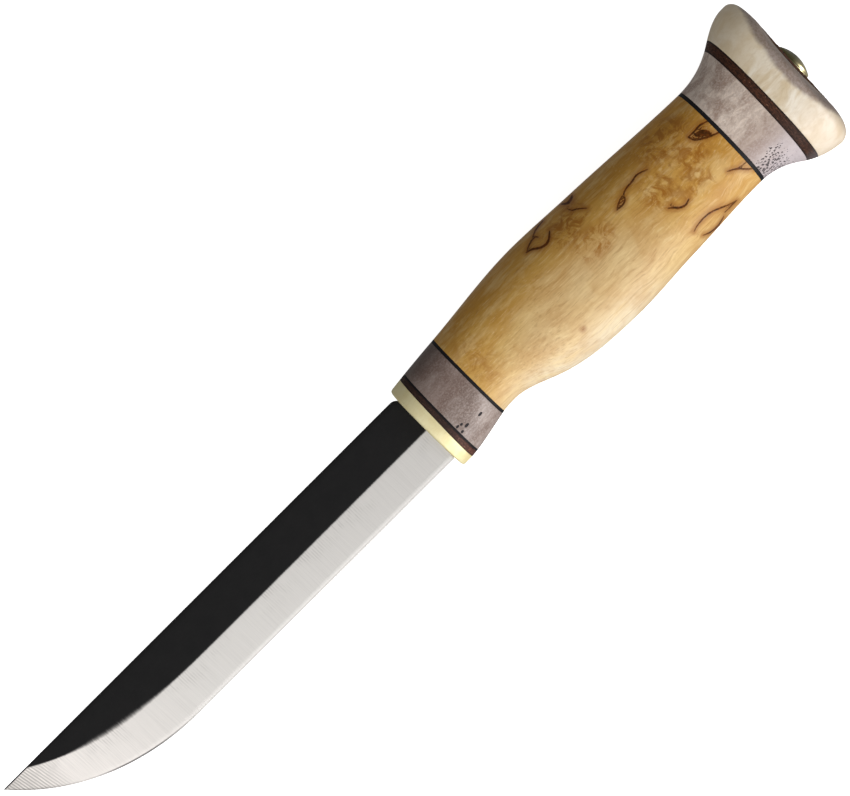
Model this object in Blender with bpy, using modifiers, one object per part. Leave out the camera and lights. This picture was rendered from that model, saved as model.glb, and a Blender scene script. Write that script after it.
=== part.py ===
"""A Nordic belt knife (puukko): a stick-tang blade, and a grip stacked from brass, leather, antler and birch.

The knife lies on its side. +X runs from the blade's tip to the pommel, +Y from the cutting edge to the
spine, and +Z through the thickness. Every dimension is in millimetres, and MM turns it into metres.
The pieces are laid out with x = 0 at the front of the brass plate, y = 0 on the nut's axis and z = 0 on
the blade's mid-plane. Their parent empty then sets the whole knife on the ground, centred on the origin.
"""

import math

import bmesh
import bpy
from mathutils import Matrix, Vector

MM = 0.001
KNIFE_NAME = "craft_knife"

# Clearances
GLUE_LINE = 0.1  # between neighbouring pieces of the stack
BORE_CLEARANCE = 0.32  # round the tang, the bedding and the nut

# Blade
BLADE_LENGTH = 126.5
BLADE_THICKNESS = 3.2
TIP_THICKNESS = 2.2
TAPER_START = 80.0  # distance from the brass plate at which the flats begin to thin towards the tip
SPINE_Y = 9.67
EDGE_DEPTH = 19.05  # depth of the cutting edge below the spine, along the straight part
BEVEL_DEPTH = 10.05  # depth of the top of the bevel below the spine, along the straight part
SPINE_CHAMFER = 0.3
BEVEL_START = 7.3  # distance from the tip at which the bevel leaves the spine
# Control points of the belly and of the bevel's curved end: distance from the tip, depth below the spine
BELLY = ((0.0, 0.0), (16.7, EDGE_DEPTH), (39.8, EDGE_DEPTH), (45.0, EDGE_DEPTH))
BEVEL_SWEEP = ((BEVEL_START, 0.0), (23.4, 9.7), (40.1, BEVEL_DEPTH), (63.0, BEVEL_DEPTH))

# Tang
TANG_THICKNESS = 2.6
TANG_ROOT = (-2.0, 6.0)  # lowest and highest y at the shoulder
TANG_END = (-2.0, 2.0)  # lowest and highest y where the round end begins
TANG_OVERLAP = 2.0  # how far the tang's solid reaches into the blade's
ROD_START = 94.0
ROD_END = 114.2
ROD_RADIUS = 2.0

# Joints of the stack: x at y = 0, and how far the joint leans along x for each millimetre of y
STACK = {
    "bolster_plate": ((0.0, 0.0), (3.15, 0.027)),
    "bolster_leather": ((3.15, 0.027), (4.6, 0.016)),
    "bolster_liner": ((4.6, 0.016), (5.0, 0.0115)),
    "front_antler": ((5.0, 0.0115), (14.45, 0.0)),
    "front_liner": ((14.45, 0.0), (15.2, 0.0)),
    "birch_grip": ((15.2, 0.0), (92.05, 0.0133)),
    "rear_liner": ((92.05, 0.0133), (92.95, 0.0125)),
    "rear_antler": ((92.95, 0.0125), (102.85, 0.03)),
    "rear_leather": ((102.85, 0.03), (105.1, 0.022)),
    "antler_pommel": ((105.1, 0.022), (115.0, 0.045)),
}
STATIONS = {
    "bolster_plate": 1,
    "bolster_leather": 1,
    "bolster_liner": 1,
    "front_antler": 3,
    "front_liner": 1,
    "birch_grip": 18,
    "rear_liner": 1,
    "rear_antler": 4,
    "rear_leather": 1,
    "antler_pommel": 12,
}

# The grip's outline as knots of (x, height, slope)
GRIP_TOP = (
    (0.0, 11.5, 0.126),
    (15.0, 12.97, 0.08),
    (42.75, 15.15, -0.015),
    (60.0, 14.4, -0.039),
    (92.0, 12.85, -0.025),
    (104.5, 16.3, 0.64),
    (112.4, 19.6, 0.0),
    (118.0, 19.6, 0.0),
)
GRIP_BOTTOM = (
    (0.0, -11.9, 0.0),
    (2.0, -11.9, 0.0),
    (6.75, -11.37, 0.18),
    (15.0, -9.72, 0.2),
    (18.5, -9.46, 0.017),
    (29.0, -12.44, -0.384),
    (51.0, -15.63, -0.027),
    (70.0, -14.8, 0.03),
    (92.0, -13.92, -0.01),
    (101.5, -17.15, -0.71),
    (111.0, -20.5, -0.08),
    (118.0, -20.8, 0.0),
)
GRIP_HALF_THICKNESS = (
    (0.0, 8.3, 0.03),
    (16.0, 8.8, 0.06),
    (42.0, 11.3, 0.0),
    (60.0, 11.3, 0.0),
    (91.5, 10.3, 0.0),
    (105.0, 12.5, 0.2),
    (112.5, 13.2, 0.0),
    (118.0, 13.2, 0.0),
)
SECTION_POWER = 2.3  # superellipse exponent of the grip's cross-section
SECTION_POINTS = 56
# Rounding of the pommel's end: how far forward it starts, and how far it pulls the outline in
POMMEL_ROUND_TOP = (2.3, 3.1)
POMMEL_ROUND_BOTTOM = (3.8, 4.8)
POMMEL_ROUND_SIDE = (3.4, 5.0)
PLATE_RIM_RADIUS = 0.6

# Bedding, washer and nut
BEDDING_RADIUS = 5.8
WASHER_SEAT = 114.6
WASHER_RADIUS = 5.25
WASHER_THICKNESS = 0.5
NUT_RADIUS = 4.7
NUT_RISE = 1.4
NUT_RIM = 0.5
BARREL_RADIUS = 3.1
BARREL_LENGTH = 9.0
NUT_BORE_RADIUS = 2.3
TURNED_STEPS = 40

# Colour, metallic and roughness
FINISHES = {
    "blade_steel": ((0.11, 0.11, 0.115), 0.9, 0.42),
    "brass": ((0.80, 0.68, 0.36), 1.0, 0.28),
    "leather": ((0.13, 0.055, 0.035), 0.0, 0.65),
    "black_fibre": ((0.010, 0.010, 0.013), 0.0, 0.55),
    "grey_antler": ((0.34, 0.27, 0.25), 0.0, 0.5),
    "cream_antler": ((0.72, 0.58, 0.40), 0.0, 0.45),
    "curly_birch": ((0.58, 0.36, 0.12), 0.0, 0.35),
    "epoxy": ((0.55, 0.47, 0.28), 0.0, 0.3),
}


def curve_height(knots, x):
    """Height at x of a smooth line through knots of (x, height, slope)."""
    for (x0, y0, slope0), (x1, y1, slope1) in zip(knots, knots[1:]):
        if x <= x1:
            break
    span = x1 - x0
    t = min(1.0, max(0.0, (x - x0) / span))
    start = y0 * (1 + 2 * t) * (1 - t) ** 2 + slope0 * span * t * (1 - t) ** 2
    end = y1 * t * t * (3 - 2 * t) - slope1 * span * t * t * (1 - t)
    return start + end


def sweep_depth(points, distance):
    """Depth below the spine at a distance from the tip, along a Bezier curve that ends level."""
    if distance >= points[-1][0]:
        return points[-1][1]
    if distance <= points[0][0]:
        return points[0][1]
    low, high = 0.0, 1.0
    for _ in range(40):
        t = (low + high) / 2
        weights = ((1 - t) ** 3, 3 * t * (1 - t) ** 2, 3 * t * t * (1 - t), t**3)
        x, depth = (sum(w * p[axis] for w, p in zip(weights, points)) for axis in (0, 1))
        if x < distance:
            low = t
        else:
            high = t
    return depth


def end_rounding(rounding, distance):
    """How far the outline is pulled in at a distance in front of the pommel's end."""
    length, depth = rounding
    if distance >= length:
        return 0.0
    return depth * (1 - math.sqrt(1 - (1 - distance / length) ** 2))


def section_point(x0, lean, angle, end_distance=None):
    """Point on the grip's surface at an angle round the section through (x0, 0) that leans by lean."""
    cosine, sine = math.cos(angle), math.sin(angle)
    reach = abs(cosine) ** (2 / SECTION_POWER)
    width = math.copysign(abs(sine) ** (2 / SECTION_POWER), sine)
    x = x0
    for _ in range(4):
        top = curve_height(GRIP_TOP, x)
        bottom = curve_height(GRIP_BOTTOM, x)
        half = curve_height(GRIP_HALF_THICKNESS, x)
        if end_distance is not None:
            top -= end_rounding(POMMEL_ROUND_TOP, end_distance)
            bottom += end_rounding(POMMEL_ROUND_BOTTOM, end_distance)
            half -= end_rounding(POMMEL_ROUND_SIDE, end_distance)
        middle = (top + bottom) / 2
        y = middle + reach * (top - middle if cosine > 0 else bottom - middle)
        x = x0 + lean * y
    return x, y, half * width


def finish_material(name):
    """Principled material of a named finish."""
    material = bpy.data.materials.get(name)
    if material is None:
        colour, metallic, roughness = FINISHES[name]
        material = bpy.data.materials.new(name)
        material.use_nodes = True
        shader = material.node_tree.nodes["Principled BSDF"]
        shader.inputs["Base Color"].default_value = (*colour, 1.0)
        shader.inputs["Metallic"].default_value = metallic
        shader.inputs["Roughness"].default_value = roughness
        material.diffuse_color = (*colour, 1.0)
    return material


def new_object(name, bm, collection):
    """Object with that name made from a bmesh in millimetres, scaled to metres."""
    bmesh.ops.scale(bm, vec=(MM, MM, MM), verts=bm.verts)
    bmesh.ops.recalc_face_normals(bm, faces=bm.faces)
    mesh = bpy.data.meshes.new(name)
    bm.to_mesh(mesh)
    bm.free()
    piece = bpy.data.objects.new(name, mesh)
    collection.objects.link(piece)
    return piece


def finish_piece(piece, material, parent):
    """Gives a piece its material and smooth shading, and sets it on its parent."""
    piece.data.materials.append(finish_material(material))
    piece.data.shade_smooth()
    piece.data.set_sharp_from_angle(angle=math.radians(35))
    piece.parent = parent
    return piece


def bridge_rings(bm, rings):
    """Faces between rings of the same number of points, and a face across each end."""
    rows = [[bm.verts.new(point) for point in ring] for ring in rings]
    count = len(rows[0])
    for row, following in zip(rows, rows[1:]):
        for i in range(count):
            j = (i + 1) % count
            bm.faces.new((row[i], row[j], following[j], following[i]))
    bm.faces.new(rows[0])
    bm.faces.new(reversed(rows[-1]))
    return rows


def cylinder(bm, x0, x1, radius, segments=TURNED_STEPS):
    """Cylinder along X between two stations."""
    centre = Matrix.Translation(((x0 + x1) / 2, 0, 0))
    turned = centre @ Matrix.Rotation(math.radians(90), 4, "Y")
    bmesh.ops.create_cone(
        bm,
        cap_ends=True,
        segments=segments,
        radius1=radius,
        radius2=radius,
        depth=x1 - x0,
        matrix=turned,
    )


def cylinder_object(name, x0, x1, radius, collection):
    """Object that holds one cylinder along X."""
    bm = bmesh.new()
    cylinder(bm, x0, x1, radius)
    return new_object(name, bm, collection)


def tang_bar(name, x0, x1, gap, collection):
    """The tapered flat bar of the tang between two stations, grown by a gap all round."""
    bm = bmesh.new()
    bmesh.ops.create_cube(bm, size=1.0)
    for vertex in bm.verts:
        x = x1 if vertex.co.x > 0 else x0
        along = min(1.0, max(0.0, x / ROD_START))
        low = TANG_ROOT[0] + (TANG_END[0] - TANG_ROOT[0]) * along - gap
        high = TANG_ROOT[1] + (TANG_END[1] - TANG_ROOT[1]) * along + gap
        y = high if vertex.co.y > 0 else low
        z = math.copysign(TANG_THICKNESS / 2 + gap, vertex.co.z)
        vertex.co = Vector((x, y, z))
    return new_object(name, bm, collection)


def boolean(piece, cutter, operation):
    """Adds an exact Boolean of that cutter to a piece."""
    modifier = piece.modifiers.new(cutter.name, "BOOLEAN")
    modifier.operation = operation
    modifier.solver = "EXACT"
    modifier.object = cutter


def blade_ring(distance):
    """Cross-section of the blade at a distance from its tip, counter-clockwise from the cutting edge."""
    x = distance - BLADE_LENGTH
    edge = sweep_depth(BELLY, distance)
    bevel = sweep_depth(BEVEL_SWEEP, distance)
    taper = max(0.0, (-x - TAPER_START) / (BLADE_LENGTH - TAPER_START))
    half = (BLADE_THICKNESS + (TIP_THICKNESS - BLADE_THICKNESS) * taper) / 2
    if distance < BEVEL_START:
        half *= edge / sweep_depth(BELLY, BEVEL_START)
    chamfer = min(SPINE_CHAMFER, half / 2, edge / 4)
    bevel = max(bevel, chamfer)
    outline = (
        (-edge, 0.0),
        (-bevel, half),
        (-chamfer, half),
        (0.0, half - chamfer),
        (0.0, chamfer - half),
        (-chamfer, -half),
        (-bevel, -half),
    )
    return [(x, SPINE_Y + depth, z) for depth, z in outline]


def make_blade(parts, cutters, parent):
    """The forged blade, its stick tang and the tang's round end, as one solid."""
    belly = [0.12, 1.0, 2.2, 3.6, 5.2, BEVEL_START]
    steps = (1.2, 2.6, 4.2, 6.0, 8.0, 10.2, 12.8, 15.8, 19.2, 23.2, 28.0, 33.0)
    belly += [BEVEL_START + step for step in steps]
    straight = [BLADE_LENGTH - TAPER_START + step for step in (0.0, 8.0, 16.5, 40.0)]
    stations = belly + straight + [BLADE_LENGTH - GLUE_LINE]
    bm = bmesh.new()
    bridge_rings(bm, [blade_ring(distance) for distance in stations])
    bmesh.ops.remove_doubles(bm, verts=bm.verts, dist=0.0005)
    bmesh.ops.dissolve_degenerate(bm, edges=bm.edges, dist=0.0005)
    blade = new_object("blade", bm, parts)
    bar = tang_bar("tang_bar", -TANG_OVERLAP, ROD_START + TANG_OVERLAP, 0.0, cutters)
    rod = cylinder_object("tang_rod", ROD_START, ROD_END, ROD_RADIUS, cutters)
    boolean(blade, bar, "UNION")
    boolean(blade, rod, "UNION")
    return finish_piece(blade, "blade_steel", parent)


def stack_piece(name, parts):
    """One slice of the grip between its two leaning joints, without its hole."""
    (x0, lean0), (x1, lean1) = STACK[name]
    is_pommel = name == "antler_pommel"
    start = x0 + (GLUE_LINE if x0 > 0 else 0.0)
    shares = [step / STATIONS[name] for step in range(STATIONS[name] + 1)]
    if is_pommel:
        shares = [math.sin(share * math.pi / 2) for share in shares]
    rings = []
    for share in shares:
        ring = []
        for step in range(SECTION_POINTS):
            angle = 2 * math.pi * step / SECTION_POINTS
            x = start + (x1 - start) * share
            lean = lean0 + (lean1 - lean0) * share
            end_distance = x1 - x if is_pommel else None
            ring.append(section_point(x, lean, angle, end_distance))
        rings.append(ring)
    bm = bmesh.new()
    rows = bridge_rings(bm, rings)
    if name == "bolster_plate":
        weights = bm.edges.layers.float.new("bevel_weight_edge")
        for edge in bm.edges:
            if all(vertex in rows[0] for vertex in edge.verts):
                edge[weights] = 1.0
    return new_object(name, bm, parts)


def make_plate(parts, tang_slot, parent):
    """The brass plate, with a rounded front rim and a slot for the tang."""
    plate = stack_piece("bolster_plate", parts)
    rim = plate.modifiers.new("rounded_rim", "BEVEL")
    rim.limit_method = "WEIGHT"
    rim.width = PLATE_RIM_RADIUS * MM
    rim.segments = 3
    boolean(plate, tang_slot, "DIFFERENCE")
    return finish_piece(plate, "brass", parent)


def make_spacer(name, material, parts, bore, parent):
    """A piece of the stack that the bedding runs through."""
    spacer = stack_piece(name, parts)
    boolean(spacer, bore, "DIFFERENCE")
    return finish_piece(spacer, material, parent)


def make_pommel(parts, cutters, parent):
    """The flared antler pommel, bored for the nut's barrel and spot-faced for the washer."""
    pommel = stack_piece("antler_pommel", parts)
    barrel_radius = BARREL_RADIUS + BORE_CLEARANCE
    bore = cylinder_object("pommel_bore", 100.0, 122.0, barrel_radius, cutters)
    seat_radius = WASHER_RADIUS + BORE_CLEARANCE
    seat = cylinder_object("washer_seat", WASHER_SEAT, 122.0, seat_radius, cutters)
    boolean(pommel, bore, "DIFFERENCE")
    boolean(pommel, seat, "DIFFERENCE")
    return finish_piece(pommel, "cream_antler", parent)


def make_bedding(parts, tang_slot, rod_bore, parent):
    """The cured epoxy sleeve between the tang and the bored stack."""
    start = STACK["bolster_plate"][1][0] + BORE_CLEARANCE
    end = STACK["rear_leather"][1][0] - BORE_CLEARANCE
    bedding = cylinder_object("tang_bedding", start, end, BEDDING_RADIUS, parts)
    boolean(bedding, tang_slot, "DIFFERENCE")
    boolean(bedding, rod_bore, "DIFFERENCE")
    return finish_piece(bedding, "epoxy", parent)


def turned_piece(name, profile, closed, parts):
    """Object turned about its own Z axis from a profile of (radius, height), then laid along X."""
    mesh = bpy.data.meshes.new(name)
    points = [(radius * MM, 0.0, height * MM) for radius, height in profile]
    edges = [(i, i + 1) for i in range(len(points) - 1)]
    if closed:
        edges.append((len(points) - 1, 0))
    mesh.from_pydata(points, edges, [])
    piece = bpy.data.objects.new(name, mesh)
    parts.objects.link(piece)
    screw = piece.modifiers.new("turned", "SCREW")
    screw.axis = "Z"
    screw.steps = TURNED_STEPS
    screw.render_steps = TURNED_STEPS
    screw.use_merge_vertices = True
    screw.merge_threshold = 0.00001
    piece.rotation_euler = (0.0, math.radians(90), 0.0)
    return piece


def make_washer(parts, parent):
    """The brass washer in its seat in the pommel."""
    inner = BARREL_RADIUS + BORE_CLEARANCE
    profile = (
        (WASHER_RADIUS, WASHER_THICKNESS),
        (WASHER_RADIUS, 0.0),
        (inner, 0.0),
        (inner, WASHER_THICKNESS),
    )
    washer = turned_piece("pommel_washer", profile, True, parts)
    washer.location.x = (WASHER_SEAT + GLUE_LINE) * MM
    return finish_piece(washer, "brass", parent)


def make_nut(parts, parent):
    """The domed brass nut with its bored barrel."""
    sphere_radius = (NUT_RADIUS**2 + NUT_RISE**2) / (2 * NUT_RISE)
    half_angle = math.asin(NUT_RADIUS / sphere_radius)
    profile = []
    for step in range(9):
        angle = half_angle * step / 8
        height = NUT_RIM + NUT_RISE - sphere_radius * (1 - math.cos(angle))
        profile.append((sphere_radius * math.sin(angle), height))
    bore_end = ROD_END + BORE_CLEARANCE - WASHER_SEAT - WASHER_THICKNESS - 2 * GLUE_LINE
    profile += [
        (NUT_RADIUS, 0.0),
        (BARREL_RADIUS, 0.0),
        (BARREL_RADIUS, -BARREL_LENGTH),
        (NUT_BORE_RADIUS, -BARREL_LENGTH),
        (NUT_BORE_RADIUS, bore_end),
        (0.0, bore_end),
    ]
    nut = turned_piece("tang_nut", profile, False, parts)
    nut.location.x = (WASHER_SEAT + WASHER_THICKNESS + 2 * GLUE_LINE) * MM
    return finish_piece(nut, "brass", parent)


def ground_offset(pieces):
    """Move that centres the pieces over the origin and sets the lowest point at height zero."""
    bpy.context.view_layer.update()
    depsgraph = bpy.context.evaluated_depsgraph_get()
    corners = []
    for piece in pieces:
        evaluated = piece.evaluated_get(depsgraph)
        corners += [evaluated.matrix_world @ vertex.co for vertex in evaluated.data.vertices]
    low = Vector(min(corner[axis] for corner in corners) for axis in range(3))
    high = Vector(max(corner[axis] for corner in corners) for axis in range(3))
    return Vector((-(low.x + high.x) / 2, -(low.y + high.y) / 2, -low.z))


def main():
    for leftover in list(bpy.data.objects):
        bpy.data.objects.remove(leftover, do_unlink=True)
    parts = bpy.data.collections.new(KNIFE_NAME)
    cutters = bpy.data.collections.new("cutters")
    bpy.context.scene.collection.children.link(parts)
    bpy.context.scene.collection.children.link(cutters)
    knife = bpy.data.objects.new(KNIFE_NAME + "_origin", None)
    parts.objects.link(knife)

    bore_radius = BEDDING_RADIUS + BORE_CLEARANCE
    tang_slot = tang_bar("tang_slot", -TANG_OVERLAP, ROD_START + 2 * TANG_OVERLAP, BORE_CLEARANCE, cutters)
    rod_bore = cylinder_object("rod_bore", ROD_START - 1.0, 122.0, ROD_RADIUS + BORE_CLEARANCE, cutters)
    stack_bore = cylinder_object("stack_bore", -1.0, 122.0, bore_radius, cutters)

    spacers = {
        "bolster_leather": "leather",
        "bolster_liner": "black_fibre",
        "front_antler": "grey_antler",
        "front_liner": "black_fibre",
        "birch_grip": "curly_birch",
        "rear_liner": "black_fibre",
        "rear_antler": "grey_antler",
        "rear_leather": "leather",
    }
    pieces = [make_blade(parts, cutters, knife), make_plate(parts, tang_slot, knife)]
    for name, material in spacers.items():
        pieces.append(make_spacer(name, material, parts, stack_bore, knife))
    pieces.append(make_pommel(parts, cutters, knife))
    pieces.append(make_bedding(parts, tang_slot, rod_bore, knife))
    pieces.append(make_washer(parts, knife))
    pieces.append(make_nut(parts, knife))

    for cutter in cutters.objects:
        cutter.hide_render = True
        cutter.display_type = "WIRE"
        cutter.parent = knife
    knife.location = ground_offset(pieces)
    bpy.context.view_layer.update()


main()
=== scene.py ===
"""The looks of a Nordic belt knife (puukko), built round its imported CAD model.

Shapes are laid out in millimetres in the knife's own axes, as in the CAD source: x = 0 at the front of the
brass plate and positive towards the pommel, y = 0 on the nut's axis and positive towards the spine, and
z = 0 on the blade's mid-plane. place() turns them into the frame's metres, and every material reads the
same millimetres through its knife_position() node.
"""

import math

import bpy
import numpy as np
from mathutils import Matrix, Vector, noise


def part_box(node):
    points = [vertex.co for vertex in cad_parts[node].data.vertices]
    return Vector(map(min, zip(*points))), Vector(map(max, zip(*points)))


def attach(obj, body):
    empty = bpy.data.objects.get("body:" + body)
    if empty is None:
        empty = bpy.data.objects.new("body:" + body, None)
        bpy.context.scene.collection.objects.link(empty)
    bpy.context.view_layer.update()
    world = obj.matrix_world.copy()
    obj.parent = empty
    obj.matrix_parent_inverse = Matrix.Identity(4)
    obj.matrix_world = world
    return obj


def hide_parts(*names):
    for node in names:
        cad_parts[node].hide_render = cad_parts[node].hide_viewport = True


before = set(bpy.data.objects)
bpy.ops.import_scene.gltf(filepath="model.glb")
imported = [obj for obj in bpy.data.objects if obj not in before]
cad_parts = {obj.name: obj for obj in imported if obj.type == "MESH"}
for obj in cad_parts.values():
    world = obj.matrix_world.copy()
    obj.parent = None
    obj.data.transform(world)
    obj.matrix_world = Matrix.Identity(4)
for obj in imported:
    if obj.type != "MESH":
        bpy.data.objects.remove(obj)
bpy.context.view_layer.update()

MM = 0.001
plate_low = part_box("bolster_plate")[0]
nut_low, nut_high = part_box("tang_nut")
ORIGIN = Vector((plate_low.x, (nut_low.y + nut_high.y) / 2, (nut_low.z + nut_high.z) / 2))

# Blade
BLADE_LENGTH = 126.5
BLADE_THICKNESS = 3.2
TIP_THICKNESS = 2.2
TAPER_START = 80.0
SPINE_Y = 9.67
EDGE_DEPTH = 19.05
BEVEL_DEPTH = 10.05
BEVEL_START = 7.3
SPINE_ROUNDING = 0.3
MICRO_BEVEL = 0.35
HEEL_ROUNDING = 2.0
HEEL_NOTCH = 0.45
HEEL_NOTCH_RAMP = (-0.55, -0.2)
BELLY = ((0.0, 0.0), (16.7, EDGE_DEPTH), (39.8, EDGE_DEPTH), (45.0, EDGE_DEPTH))
BEVEL_SWEEP = ((BEVEL_START, 0.0), (23.4, 9.7), (40.1, BEVEL_DEPTH), (63.0, BEVEL_DEPTH))
TANG_THICKNESS = 2.6
TANG_ROOT = (-2.0, 6.0)
TANG_END = (-2.0, 2.0)
ROD_START = 94.0
ROD_END = 114.2
ROD_RADIUS = 2.0

# Where the blade is cut into sections: distances from its tip, steps along it, and gaps before its heel
TIP_STATIONS = (0.121, 0.4, 0.8, 1.3, 1.9)
FIRST_EVEN_STATION = 2.6
BELLY_STEP = 0.7
STRAIGHT_STEP = 1.5
BELLY_END = 50.0
HEEL_LENGTH = 3.0
HEEL_GAPS = (2.0, 1.6, 1.3, 1.0, 0.8, 0.65, 0.5, 0.4, 0.3, 0.22, 0.15, 0.09, 0.05)
BEVEL_SHARES = (0.0, 0.12, 0.3, 0.5, 0.7, 0.85, 0.95, 1.0)
FLAT_SHARES = (0.04, 0.12, 0.3, 0.5, 0.7, 0.88, 1.0)
TANG_STATIONS = (-0.05, 20.0, 50.0, 80.0, ROD_START, ROD_START + 0.01, ROD_END)
TANG_OFFSET = 5.0  # how far from the bevel and the edge the tang is said to be

# Joints of the stack, each in front of the piece that it names: x at y = 0, and lean along x for each
# millimetre of y
JOINTS = (
    ("bolster_plate", (0.0, 0.0)),
    ("bolster_leather", (3.15, 0.027)),
    ("bolster_liner", (4.6, 0.016)),
    ("front_antler", (5.0, 0.0115)),
    ("front_liner", (14.45, 0.0)),
    ("birch_grip", (15.2, 0.0)),
    ("rear_liner", (92.05, 0.0133)),
    ("rear_antler", (92.95, 0.0125)),
    ("rear_leather", (102.85, 0.03)),
    ("antler_pommel", (105.1, 0.022)),
    ("", (115.0, 0.045)),
)
STACK = {name: (front, back) for (name, front), (_, back) in zip(JOINTS, JOINTS[1:])}

# The grip's outline as knots of (x, height, slope)
GRIP_TOP = (
    (0.0, 11.5, 0.126),
    (15.0, 12.97, 0.08),
    (42.75, 15.15, -0.015),
    (60.0, 14.4, -0.039),
    (92.0, 12.85, -0.025),
    (104.5, 16.3, 0.64),
    (112.4, 19.6, 0.0),
    (118.0, 19.6, 0.0),
)
GRIP_BOTTOM = (
    (0.0, -11.9, 0.0),
    (2.0, -11.9, 0.0),
    (6.75, -11.37, 0.18),
    (15.0, -9.72, 0.2),
    (18.5, -9.46, 0.017),
    (29.0, -12.44, -0.384),
    (51.0, -15.63, -0.027),
    (70.0, -14.8, 0.03),
    (92.0, -13.92, -0.01),
    (101.5, -17.15, -0.71),
    (111.0, -20.5, -0.08),
    (118.0, -20.8, 0.0),
)
GRIP_HALF_THICKNESS = (
    (0.0, 8.3, 0.03),
    (16.0, 8.8, 0.06),
    (42.0, 11.3, 0.0),
    (60.0, 11.3, 0.0),
    (91.5, 10.3, 0.0),
    (105.0, 12.5, 0.2),
    (112.5, 13.2, 0.0),
    (118.0, 13.2, 0.0),
)
SECTION_POWER = 2.3
POMMEL_ROUND_TOP = (2.3, 3.1)
POMMEL_ROUND_BOTTOM = (3.8, 4.8)
POMMEL_ROUND_SIDE = (3.4, 5.0)
PLATE_RIM_RADIUS = 0.6
PLATE_FACE_INSET = 1.6 * PLATE_RIM_RADIUS
PLATE_MIDDLE = 1.6
CORE_CROWN = 0.1  # how far the spongy core swells past the pommel's end
CORE_PITS = 0.12
RIM_RECESS = 1.1  # how far the pommel's rim falls back where the pommel is thickest
RIM_RECESS_LENGTH = 4.5
RIM_RECESS_REACH = (7.0, 14.0)  # heights from the middle between which the fall fades out
RIM_HALF_THICKNESS = 8.2
POMMEL_MIDDLE_Y = -1.0
SEAM_ROUNDING = 0.05
SKIN_INSET = 0.03  # keeps the finer sections inside the CAD's facets

STACK_BORE = 6.12
TANG_SLOT = (4.32, 1.62)  # half height and half thickness
TANG_SLOT_Y = 2.0
POMMEL_BORE = 3.42
WASHER_SEAT = 114.6
WASHER_RADIUS = 5.25
WASHER_THICKNESS = 0.5
WASHER_EASE = 0.08
WASHER_PLAY = 0.32
WASHER_LIFT = 0.1
SEAT_RADIUS = 5.57
NUT_RADIUS = 4.7
NUT_RISE = 1.4
NUT_RIM = 0.5
NUT_RIM_EASE = (0.05, 0.04)  # across and along
NUT_BASE = 115.3
BARREL_RADIUS = 3.1
BARREL_LENGTH = 9.0
NUT_BORE_RADIUS = 2.3
NUT_BORE_END = -1.0

ROUND_POINTS = 224  # points round each piece of the grip
TURNED_POINTS = 96  # points round the nut and the washer
SURFACE_STEP = 0.4  # spacing of the sections along the grip
POMMEL_SECTIONS = 34
CORE_SECTIONS = 20
DOME_SECTIONS = 24
HARD_EDGE_ANGLE = 40.0

# Bark flecks in the birch as (half width, points of (x, y)), on the face that is uppermost
UPPER_FLECKS = (
    (0.28, ((43.6, 11.9), (45.0, 11.5), (46.5, 10.5), (48.1, 10.1), (49.4, 10.6), (50.6, 11.6))),
    (0.17, ((43.6, 11.9), (45.7, 12.8), (47.4, 13.0), (47.9, 12.4))),
    (0.17, ((46.6, 13.1), (48.4, 13.9), (49.9, 14.2), (51.3, 14.3))),
    (0.32, ((56.8, 14.0), (57.9, 13.2), (59.0, 13.3), (59.8, 13.7))),
    (0.15, ((56.9, 12.3), (57.4, 11.3), (58.2, 10.9), (59.5, 9.8), (60.0, 9.3))),
    (0.18, ((64.2, 4.4), (65.6, 5.2), (67.1, 5.7), (67.6, 5.3))),
    (0.20, ((64.2, 4.4), (65.6, 4.3), (66.9, 4.6), (67.6, 5.3))),
    (0.20, ((67.4, 5.6), (68.9, 6.3), (71.1, 6.5), (72.9, 6.8), (75.3, 6.0))),
    (0.26, ((72.5, -3.3), (73.5, -4.1), (74.4, -5.0), (75.7, -5.5), (77.1, -5.1))),
    (0.12, ((72.6, -3.4), (73.8, -3.1))),
    (0.19, ((73.1, -11.0), (74.5, -10.6), (76.7, -10.4), (78.9, -10.7),
            (81.2, -11.6), (82.8, -12.3), (84.8, -12.9))),
    (0.19, ((74.0, -13.1), (75.8, -13.8), (78.1, -14.0), (80.2, -13.4))),
    (0.15, ((81.0, -12.9), (82.8, -12.9), (84.8, -12.9))),
    (0.22, ((86.6, 4.7), (88.2, 4.6), (90.4, 4.7), (92.2, 4.1))),
    (0.26, ((86.6, 4.7), (87.3, 3.2), (89.2, 1.9), (91.2, 1.0), (92.4, 0.5))),
    (0.70, ((88.2, 3.7), (89.5, 3.2), (90.5, 2.1))),
    (0.20, ((87.5, -6.8), (89.3, -7.8), (90.9, -9.4), (92.0, -10.4))),
    (0.13, ((88.4, -7.4), (90.0, -8.0), (91.9, -8.3))),
    (0.06, ((40.4, -9.0), (40.7, -9.0))),
)
LOWER_FLECKS = (
    (0.22, ((30.0, 3.1), (31.8, 1.9), (34.3, 1.7), (36.5, 2.6))),
    (0.16, ((30.0, 3.1), (32.3, 3.9), (35.0, 3.6), (36.5, 2.6))),
    (0.20, ((49.0, -6.0), (51.5, -7.1), (54.6, -7.4), (57.6, -6.6))),
    (0.32, ((61.2, 9.6), (62.4, 9.2), (63.5, 9.5))),
    (0.19, ((70.2, -1.2), (72.4, -0.1), (75.3, 0.2), (78.4, -0.6))),
    (0.17, ((70.2, -1.2), (72.8, -2.0), (76.0, -1.8), (78.4, -0.6))),
    (0.24, ((80.5, -9.4), (82.4, -8.2), (85.4, -7.9), (88.2, -9.0))),
    (0.65, ((85.9, 5.7), (86.8, 5.2), (87.4, 4.4))),
    (0.22, ((84.0, 6.7), (86.3, 6.8), (89.1, 5.7))),
    (0.14, ((66.5, -11.9), (69.0, -12.4), (71.7, -12.1))),
)
STROKE_END_SHARE = 0.35  # width of a stroke's ends, as a share of its full width
STROKE_REACH = 0.45  # how far from a stroke's edge its exact gap is used
FAR_AWAY = 50.0

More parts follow.
